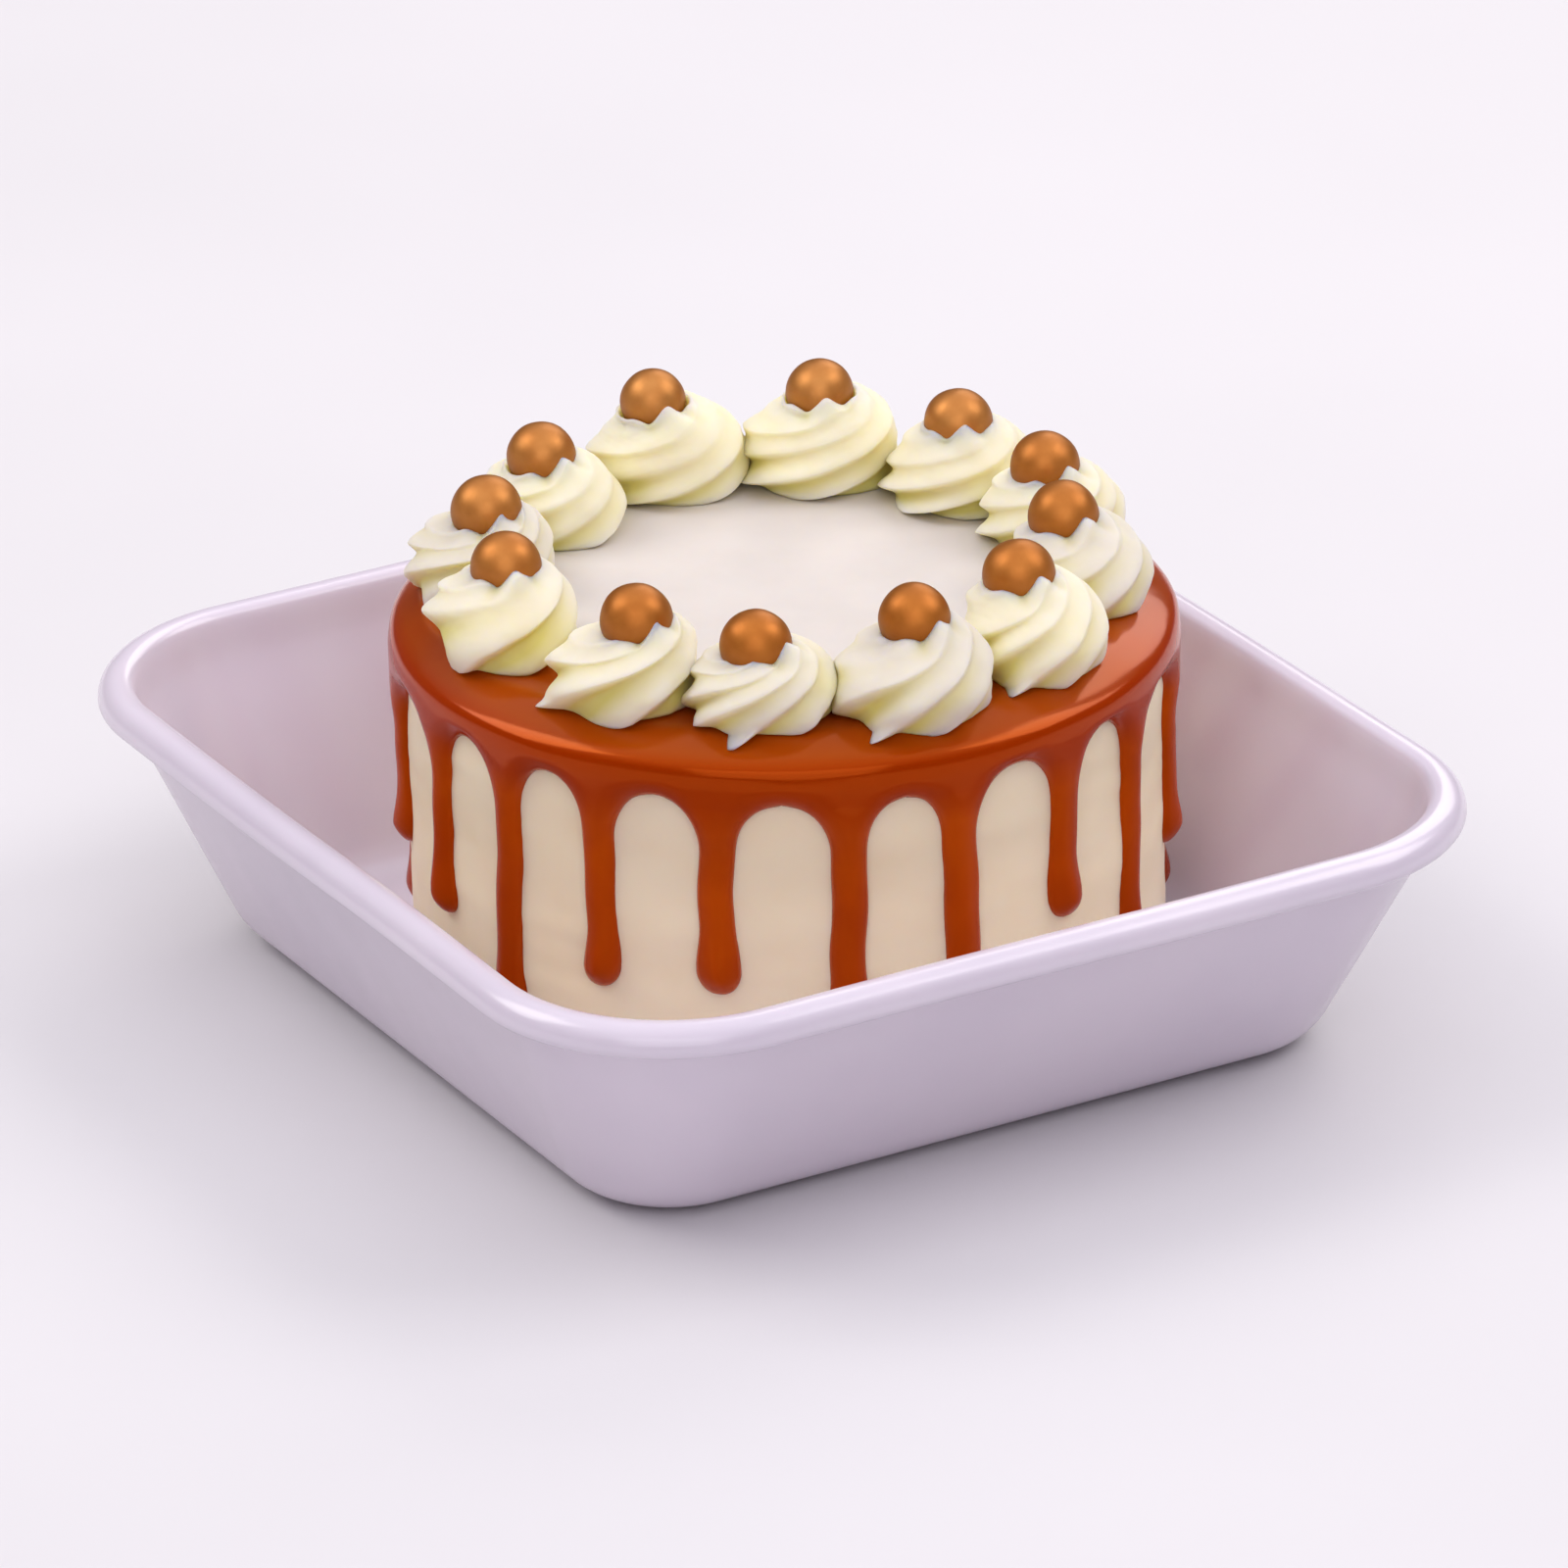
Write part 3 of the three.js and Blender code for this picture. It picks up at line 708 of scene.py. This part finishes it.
    # the strips' shared vertical borders are welded below, so they get no wall
    border_cols = set()
    for i in range(n):
        border_cols.add(ring_start + i * (cols - 1))
        for j in range(edge_row - 1, nrow):
            border_cols.add(strip_index[i] + j * cols)
            border_cols.add(strip_index[i] + j * cols + cols - 1)
    for (p, q) in list(edge_use):
        if (q, p) not in edge_use:
            if p in border_cols and q in border_cols:
                continue
            faces.append((q, p, p + front_count, q + front_count))
    verts = np.array(verts)
    verts[:, :2] += CAKE
    ob = make_mesh("caramel_glaze", verts, faces, mat, "caramel_drip")
    weld(ob, 1e-6)
    return ob


def weld(ob, dist):
    import bmesh
    bm = bmesh.new()
    bm.from_mesh(ob.data)
    bmesh.ops.remove_doubles(bm, verts=bm.verts, dist=dist)
    bmesh.ops.dissolve_degenerate(bm, edges=bm.edges, dist=1e-7)
    bmesh.ops.recalc_face_normals(bm, faces=bm.faces)
    bm.to_mesh(ob.data)
    bm.free()
    ob.data.polygons.foreach_set("use_smooth", [True] * len(ob.data.polygons))


# ---------------------------------------------------------------------------
# rosettes and pearls
# ---------------------------------------------------------------------------

# One row per rosette: angle and distance of its base from the cake's axis, its
# radius, the angle, distance and height of its pearl, direction of its tip beside
# the pearl, direction and length of its tail, twist from foot to collar, how far
# the collar falls away on one side of the pearl, how much slimmer it is above on
# that side, and its ridges: the angle of each crest 4 mm up, with the depth of
# the groove after it.
ROSETTES = [
    [172.0, 41.4, 10.7, 175.9, 39.6, 67.5, -5, 250, 1.0, 275, 1.6, 1.8,
     [(-140, 0.5), (-72, 0.45), (-5, 0.5), (70, 0.4), (145, 0.5)]],
    [143.8, 40.8, 10.9, 142.7, 39.3, 67.2, -20, 262, 0.8, 285, 1.0, 1.9,
     [(-175, 0.6), (-110, 0.7), (-42, 0.6), (30, 0.5), (105, 0.5)]],
    [114.5, 39.9, 10.0, 112.8, 38.9, 65.9, -20, 30, 1.0, 270, 0.5, 1.3,
     [(-140, 0.7), (-75, 0.7), (-8, 0.7), (60, 0.5), (135, 0.6)]],
    [86.5, 39.7, 9.6, 86.1, 38.7, 65.3, 10, 70, 0.6, 240, 1.6, 1.0,
     [(-130, 0.8), (-68, 0.8), (-2, 0.7), (70, 0.6), (145, 0.7)]],
    [54.6, 38.6, 9.8, 60.4, 36.8, 65.1, 5, -50, 1.4, 190, 1.7, 0.8,
     [(-118, 0.9), (-55, 0.8), (5, 0.6), (70, 0.6), (150, 0.8)]],
    [22.6, 40.6, 9.9, 23.3, 38.1, 66.7, 4, -46, 1.8, 165, 1.4, 0.8,
     [(-102, 1.0), (-62, 0.8), (-14, 0.75), (34, 0.6), (90, 0.7), (160, 0.8)]],
    [-6.9, 42.2, 10.2, -4.1, 38.8, 65.9, 10, -38, 2.6, 150, 2.1, 0.3,
     [(-82, 1.0), (-24, 0.85), (30, 0.6), (90, 0.7), (150, 0.8), (215, 0.4)]],
    [-34.5, 38.6, 9.9, -34.9, 39.2, 64.3, 28, -44, 4.0, 150, 2.0, 0.5,
     [(-94, 1.0), (-54, 0.85), (-12, 0.8), (38, 0.55), (100, 0.7), (165, 0.8), (216, 0.9)]],
    [-62.0, 40.4, 9.9, -58.7, 38.8, 66.0, 6, -122, 2.0, 185, 2.1, 0.4,
     [(-74, 1.0), (5, 0.7), (78, 0.7), (150, 0.8), (220, 1.0)]],
    [-94.0, 41.0, 10.2, -97.3, 38.8, 65.5, -14, -118, 1.6, 195, 1.1, 0.2,
     [(-142, 1.0), (-36, 0.85), (35, 0.7), (100, 0.8), (158, 1.0)]],
    [-125.0, 40.3, 10.0, -125.5, 39.0, 65.7, -4, -140, 0.6, 195, 2.2, 0.3,
     [(-150, 0.9), (-95, 0.8), (-43, 0.75), (15, 0.6), (75, 0.7), (140, 0.9)]],
    [-156.0, 39.2, 10.0, -154.3, 38.7, 65.7, 8, 190, 0.8, 240, 1.8, 1.0,
     [(-140, 0.6), (-72, 0.5), (-2, 0.5), (70, 0.5), (145, 0.6)]],
]
ROSETTE_Z = 55.0
PEARL_R = 4.7
PEARL_SIZE = (0.95, 0.965, 0.98, 0.985, 1, 1, 1, 1, 1, 0.99, 1, 0.985)
LOW_SIDE = -104.0   # side on which the collars fall away
SLIM_SIDE = -119.5  # side on which the swirls are slimmer
FULL_SIDE = 60.5

# Outline of a rosette: height, and crest radius as a part of its size.
OUTLINE = np.array([
    [0.0, 0.87], [0.35, 0.945], [0.9, 0.995], [1.8, 1.03], [3.0, 1.045], [4.4, 1.045], [5.9, 1.02],
    [7.3, 0.97], [8.6, 0.89], [9.7, 0.80], [10.6, 0.695], [11.3, 0.585], [11.75, 0.505], [11.9, 0.46],
])


def catmull(points, count):
    """Points evenly spaced by length along a smooth curve through points."""
    P = np.asarray(points, float)
    P = np.vstack([2 * P[0] - P[1], P, 2 * P[-1] - P[-2]])
    out = []
    for i in range(1, len(P) - 2):
        for t in np.linspace(0, 1, 24, endpoint=False):
            a, b, c, d = P[i - 1], P[i], P[i + 1], P[i + 2]
            out.append(0.5 * ((2 * b) + (c - a) * t + (2 * a - 5 * b + 4 * c - d) * t**2 + (3 * b - a - 3 * c + d) * t**3))
    out.append(P[-2])
    out = np.array(out)
    scale = np.array([1.0, 10.0])
    s = np.concatenate([[0], np.cumsum(np.hypot(*(np.diff(out, axis=0) * scale).T))])
    want = np.linspace(0, s[-1], count)
    return np.stack([np.interp(want, s, out[:, k]) for k in range(out.shape[1])], 1), want / s[-1]


def groove(p):
    """Depth of the groove, 0 on a crest and 1 in the valley, for p from 0 to 1
    across one ridge going anticlockwise. Just past a crest the side is steep;
    the next ridge then swells up broad and round."""
    v = 0.36
    near = np.clip(p / v, 0, 1)
    far = np.clip((1 - p) / (1 - v), 0, 1)
    soft = 0.10
    q = (np.sqrt(near**2 + soft**2) - soft) / (math.sqrt(1 + soft**2) - soft)
    steep = 0.65 * np.sin(q * math.pi / 2) + 0.35 * (0.5 - 0.5 * np.cos(q * math.pi))
    q = (np.sqrt(far**2 + soft**2) - soft) / (math.sqrt(1 + soft**2) - soft)
    broad = 0.30 * np.sin(q * math.pi / 2) + 0.70 * (0.5 - 0.5 * np.cos(q * math.pi))
    return np.where(p < v, steep, broad)


def build_rosette(index, row, mat):
    (b_deg, b_dist, size, p_deg, p_dist, p_z, tip_deg, tail_deg, tail, twist, pressed, slim, crests) = row
    rng = np.random.default_rng(500 + index)
    base = np.array([b_dist * math.cos(math.radians(b_deg)), b_dist * math.sin(math.radians(b_deg))])
    pearl = np.array([p_dist * math.cos(math.radians(p_deg)), p_dist * math.sin(math.radians(p_deg))])
    lean_to = pearl - base
    pz = p_z - ROSETTE_Z
    rows = 62
    line, s = catmull(OUTLINE, rows)
    z_collar = pz + 0.45
    zs, fs = line[:, 0] * z_collar / OUTLINE[-1, 0], line[:, 1]
    early = float(smoothstep(190, 270, twist))
    turn = lambda x: twist * ((0.5 + 0.4 * early) * x + (0.5 - 0.4 * early) * x * x)
    s4 = float(np.interp(4.0, zs, s))
    # columns follow the ridges, with one column exactly on each crest
    start = np.array([c[0] for c in crests], float)
    depth_at = np.array([c[1] for c in crests]) * (1 + rng.uniform(-0.1, 0.1, len(crests)))
    width = np.diff(np.append(start, start[0] + 360))
    per = np.maximum(14, np.round(width / 360 * 208)).astype(int)
    deg0, p, cell = [], [], []
    for c in range(len(crests)):
        q = np.arange(per[c]) / per[c]
        deg0.append(start[c] + width[c] * q)
        p.append(q)
        cell.append(np.full(per[c], c))
    deg0, p, cell = map(np.concatenate, (deg0, p, cell))
    cols = len(deg0)
    g = groove(p)
    swell = rng.uniform(-0.04, 0.03, len(crests))
    nxt = (cell + 1) % len(crests)
    size_here = 1 + swell[cell] * (1 - p) + swell[nxt] * p
    depth = 2.35 * depth_at[cell] * np.clip(width[cell] / 58, 0.75, 1.15)
    crest = np.clip(1 - np.minimum(p, 1 - p) * 5.0, 0, 1) ** 1.3
    wob = Wobble(700 + index, 10, 2)
    fine = Wobble(760 + index, 2.6, 2)
    # towards the rosettes on either side, for painted shade low between neighbouring swirls
    beside_at = []
    for o in (-1, 1):
        other_row = ROSETTES[(index + o) % len(ROSETTES)]
        q = np.array([other_row[1] * math.cos(math.radians(other_row[0])), other_row[1] * math.sin(math.radians(other_row[0]))])
        beside_at.append(math.atan2(*(q - base)[::-1]))
    rings, crease_shade = [], []
    for k in range(rows):
        x = s[k]
        phi = np.radians(deg0 + turn(x) - turn(s4))
        foot = float(smoothstep(0.22, 0.03, x))
        top = float(smoothstep(0.72, 1.0, x))
        side = 0.5 + 0.5 * np.cos(phi - math.radians(SLIM_SIDE))
        other = 0.5 + 0.5 * np.cos(phi - math.radians(FULL_SIDE))
        fade = float(smoothstep(0.30, 0.92, x))
        env = (0.72 + 0.28 * float(smoothstep(0.0, 0.14, x))) * (1 - 0.80 * fade) * (1 - 0.35 * other**2)
        env = env * (1 - 0.45 * side**2 * float(smoothstep(0.3, 0.6, x))) * (1 - 0.45 * early * float(smoothstep(0.2, 0.5, x)))
        r = size * fs[k] * size_here - depth * env * g
        r = r - slim * side**1.5 * float(smoothstep(0.22, 0.6, x) * (1 - smoothstep(0.84, 1.0, x)))
        r = r + foot * crest * 0.5
        r = r + foot * crest * tail * smoothstep(0.80, 0.985, np.cos(phi - math.radians(tail_deg)))
        x2, y2 = r * np.cos(phi), r * np.sin(phi)
        r = r + 0.16 * wob(x2, y2, zs[k]) + 0.05 * fine(x2, y2, zs[k])
        t = min(1.0, zs[k] / z_collar)
        cx, cy = lean_to * t * t
        # the collar falls away on one side of the pearl
        dip = (0.5 + 0.5 * np.cos(phi - math.radians(LOW_SIDE))) ** 1.1
        z = zs[k] - pressed * dip * float(smoothstep(5.5, 11.5, zs[k]))
        # peaks where ridges end beside the pearl
        d1 = np.degrees(np.angle(np.exp(1j * (phi - math.radians(tip_deg)))))
        d2 = np.degrees(np.angle(np.exp(1j * (phi - math.radians(tip_deg - 58)))))
        peak = np.exp(-(d1 / 15) ** 2)
        second = np.exp(-(d2 / 13) ** 2)
        notch = np.exp(-((d1 + 30) / 10) ** 2) + 0.6 * np.exp(-((d1 - 30) / 9) ** 2)
        z = z + top * (1.35 * peak + 0.35 * second - 0.6 * notch + 0.1 * crest - 0.1 * g)
        r = r - top * (0.05 * peak + 0.15 * notch)
        rings.append(np.stack([cx + r * np.cos(phi), cy + r * np.sin(phi), z], 1))
        # painted shade, kept per point: grooves, the notches by the pearl, the very foot and the low sides facing the
        # next swirls
        low = float(1 - smoothstep(3.5, 9.0, zs[k]))
        beside = sum(smoothstep(0.72, 1.0, np.cos(phi - a)) for a in beside_at)
        crease_shade.append(np.clip(g * (0.35 + 0.65 * env) * np.sqrt(depth / 2.35), 0, 1) ** 1.7 * (1 - 0.6 * fade)
                      + 0.6 * top * notch + 0.45 * float(smoothstep(0.08, 0.0, x)) + 0.5 * low * beside
                      + 0.4 * g * float(smoothstep(0.4, 0.05, x)))
    # cup under the pearl, from the collar down to the middle
    last = rings[-1]
    pc = np.array([lean_to[0], lean_to[1], pz])
    d = last - pc
    ln = np.linalg.norm(d, axis=1)
    d = d / ln[:, None]
    ang0 = np.arccos(np.clip(d[:, 2], -1, 1))
    az = np.arctan2(d[:, 1], d[:, 0])
    for t in (0.07, 0.15, 0.3, 0.5, 0.72, 0.9):
        ang = ang0 + (math.pi - ang0) * t
        rr = PEARL_R - 0.12 + np.minimum(0, ln - PEARL_R) * max(0.0, 1 - t / 0.3)
        rr = rr + np.maximum(0, ln - PEARL_R) * max(0.0, 1 - t / 0.12)
        rings.append(np.stack([
            pc[0] + rr * np.sin(ang) * np.cos(az),
            pc[1] + rr * np.sin(ang) * np.sin(az),
            pc[2] + rr * np.cos(ang)], 1))
        # painted shade in the cup where the pearl sits
        crease_shade.append(np.full(cols, 0.8))
    v, f = revolve(rings)
    crease_shade = np.concatenate(crease_shade + [np.array([0.3, 0.8])])
    v[:, :2] += base
    # the foot settles on the crowned edge of the caramel
    far = np.hypot(v[:, 0], v[:, 1])
    sink = 0.215 * np.clip(far - 46.0, 0, 6) * (1 - smoothstep(0.0, 5.0, v[:, 2]))
    v[:, :2] *= ((far - 2.2 * sink) / np.maximum(far, 1))[:, None]
    v[:, 2] -= sink
    v[:, :2] += CAKE
    v[:, 2] += ROSETTE_Z
    name = f"rosette_cream_{index + 1:02d}"
    ob = make_mesh(name, v, f, mat, f"rosette_{index + 1:02d}")
    att = ob.data.attributes.new("crease_shade", "FLOAT", "POINT")
    att.data.foreach_set("value", np.clip(crease_shade, 0, 1).astype(np.float32))
    # painted light and shade: each swirl's share of the lit copy of the cream; those on the far side, lit by light
    # off the white top, are painted paler
    painted_light_tone = (1.0, 1.0, 0.8, 0.8, 0.0, 0.7, 0.0, 0.3, 0.6, 0.5, 0.1, 1.0)[index]
    att = ob.data.attributes.new("painted_light_tone", "FLOAT", "POINT")
    att.data.foreach_set("value", np.full(len(v), painted_light_tone, np.float32))
    return ob


def build_pearl(index, row, mat):
    p_deg, p_dist, p_z = row[3], row[4], row[5]
    rng = np.random.default_rng(900 + index)
    centre = np.array([p_dist * math.cos(math.radians(p_deg)), p_dist * math.sin(math.radians(p_deg)), p_z])
    n, rows = 72, 37
    rings = []
    for k in range(rows):
        a = math.radians(2 + 176 * k / (rows - 1))
        rings.append(ring_at(PEARL_R * math.sin(a), -PEARL_R * math.cos(a), n))
    v, f = revolve(rings)
    wob = Wobble(900 + index, 8, 2)
    ln = np.linalg.norm(v, axis=1, keepdims=True)
    squash = 1 + rng.uniform(-0.012, 0.012, 3)
    v = v / ln * (ln + 0.05 * wob(v[:, 0], v[:, 1], v[:, 2])[:, None]) * squash * PEARL_SIZE[index]
    v += centre + np.array([0, 0, PEARL_R * (1 - PEARL_SIZE[index]) * 0.6])
    v[:, :2] += CAKE
    name = f"sugar_pearl_{index + 1:02d}"
    ob = make_mesh(name, v, f, mat, f"pearl_{index + 1:02d}")
    # painted light and shade: the pearls on the far side are painted paler and yellower, the near ones darker
    painted_light_tone = (0.95, 0.9, 0.8, 0.35, 0.3, 0.25, 0.1, 0.1, 0.2, 0.5, 0.7, 0.75)[index]
    att = ob.data.attributes.new("painted_light_tone", "FLOAT", "POINT")
    att.data.foreach_set("value", np.full(len(v), painted_light_tone, np.float32))
    return ob


# ---------------------------------------------------------------------------
# build
# ---------------------------------------------------------------------------

build_box(box_material())
build_cake(cream_material())
build_caramel(caramel_material())
cream = rosette_material()
ball = pearl_material()
for i, row in enumerate(ROSETTES):
    build_rosette(i, row, cream)
    build_pearl(i, row, ball)


# ---------------------------------------------------------------------------
# stage, light, camera
# ---------------------------------------------------------------------------

def stage():
    m = Mat("floor_paper", Roughness=0.75)
    n = m.remap(m.noise(220, 3), "Fac", 0.3, 0.7, 0.0, 1.0)
    _, col = m.mix(n, "Result", srgb(214, 212, 214), srgb(220, 218, 220))
    m.nt.links.new(col, m.bsdf.inputs["Base Color"])
    me = bpy.data.meshes.new("floor")
    s = 3.0
    me.from_pydata([(-s, -s, 0), (s, -s, 0), (s, s, 0), (-s, s, 0)], [], [(0, 1, 2, 3)])
    me.materials.append(m.mat)
    ob = bpy.data.objects.new("floor", me)
    ob.location = (0, 0, -0.0002)
    bpy.context.scene.collection.objects.link(ob)


def area_light(name, place, size, power, colour, target=(0, 0, 0.04)):
    li = bpy.data.lights.new(name, "AREA")
    li.shape = "RECTANGLE"
    li.size, li.size_y = size
    li.energy = power
    li.color = colour
    ob = bpy.data.objects.new(name, li)
    ob.location = place
    d = Vector(target) - Vector(place)
    ob.rotation_mode = "QUATERNION"
    ob.rotation_quaternion = d.to_track_quat("-Z", "Y")
    bpy.context.scene.collection.objects.link(ob)
    return ob


def camera():
    yaw, pitch, roll = (math.radians(x) for x in (60.448, 24.175, -1.007))
    back = Vector((math.sin(yaw) * math.cos(pitch), -math.cos(yaw) * math.cos(pitch), math.sin(pitch)))
    fwd = -back
    right = fwd.cross(Vector((0, 0, 1))).normalized()
    up = right.cross(fwd)
    r = right * math.cos(roll) + up * math.sin(roll)
    u = -right * math.sin(roll) + up * math.cos(roll)
    place = Vector((-54.281, 32.418, 0)) * MM + back * 1502.818 * MM
    cam = bpy.data.cameras.new("camera")
    cam.sensor_width = 36
    cam.lens = 249.30
    cam.clip_start, cam.clip_end = 0.05, 20
    ob = bpy.data.objects.new("camera", cam)
    ob.matrix_world = Matrix(((r.x, u.x, back.x, place.x), (r.y, u.y, back.y, place.y), (r.z, u.z, back.z, place.z), (0, 0, 0, 1)))
    bpy.context.scene.collection.objects.link(ob)
    bpy.context.scene.camera = ob
    return r, u, back


def lights():
    yaw = math.radians(60.448)
    back = Vector((math.sin(yaw), -math.cos(yaw), 0))   # towards the camera, level
    right = Vector((math.cos(yaw), math.sin(yaw), 0))   # to the right of the picture

    def at(x, y, z):
        return tuple(right * x + back * y + Vector((0, 0, z)))

    area_light("key_left", at(-0.72, -0.11, 0.76), (0.56, 0.54), 3.45, (1.0, 0.975, 0.93))
    area_light("key_right", at(0.72, -0.11, 0.76), (0.62, 0.54), 3.3, (1.0, 0.97, 0.96))
    area_light("front_fill", at(0.0, 1.0, 0.55), (1.0, 0.8), 3.6, (0.96, 0.93, 1.0))
    area_light("back_top", at(0.32, -0.80, 0.60), (0.6, 0.6), 2.6, (1.0, 0.97, 0.95))
    # dim room: dark round the horizon, paler overhead
    w = bpy.data.worlds.new("studio")
    bpy.context.scene.world = w
    w.use_nodes = True
    nt = w.node_tree
    bg = nt.nodes["Background"]
    co = nt.nodes.new("ShaderNodeTexCoord")
    sep = nt.nodes.new("ShaderNodeSeparateXYZ")
    ramp = nt.nodes.new("ShaderNodeValToRGB")
    ramp.color_ramp.elements[0].position = 0.42
    ramp.color_ramp.elements[0].color = (0.085, 0.07, 0.07, 1)
    ramp.color_ramp.elements[1].position = 0.88
    ramp.color_ramp.elements[1].color = (0.80, 0.78, 0.86, 1)
    nt.links.new(co.outputs["Generated"], sep.inputs["Vector"])
    nt.links.new(sep.outputs["Z"], ramp.inputs["Fac"])
    nt.links.new(ramp.outputs["Color"], bg.inputs["Color"])
    bg.inputs["Strength"].default_value = 1.4


stage()
camera()
lights()
bpy.context.scene.view_settings.view_transform = "Standard"
bpy.context.scene.view_settings.look = "None"
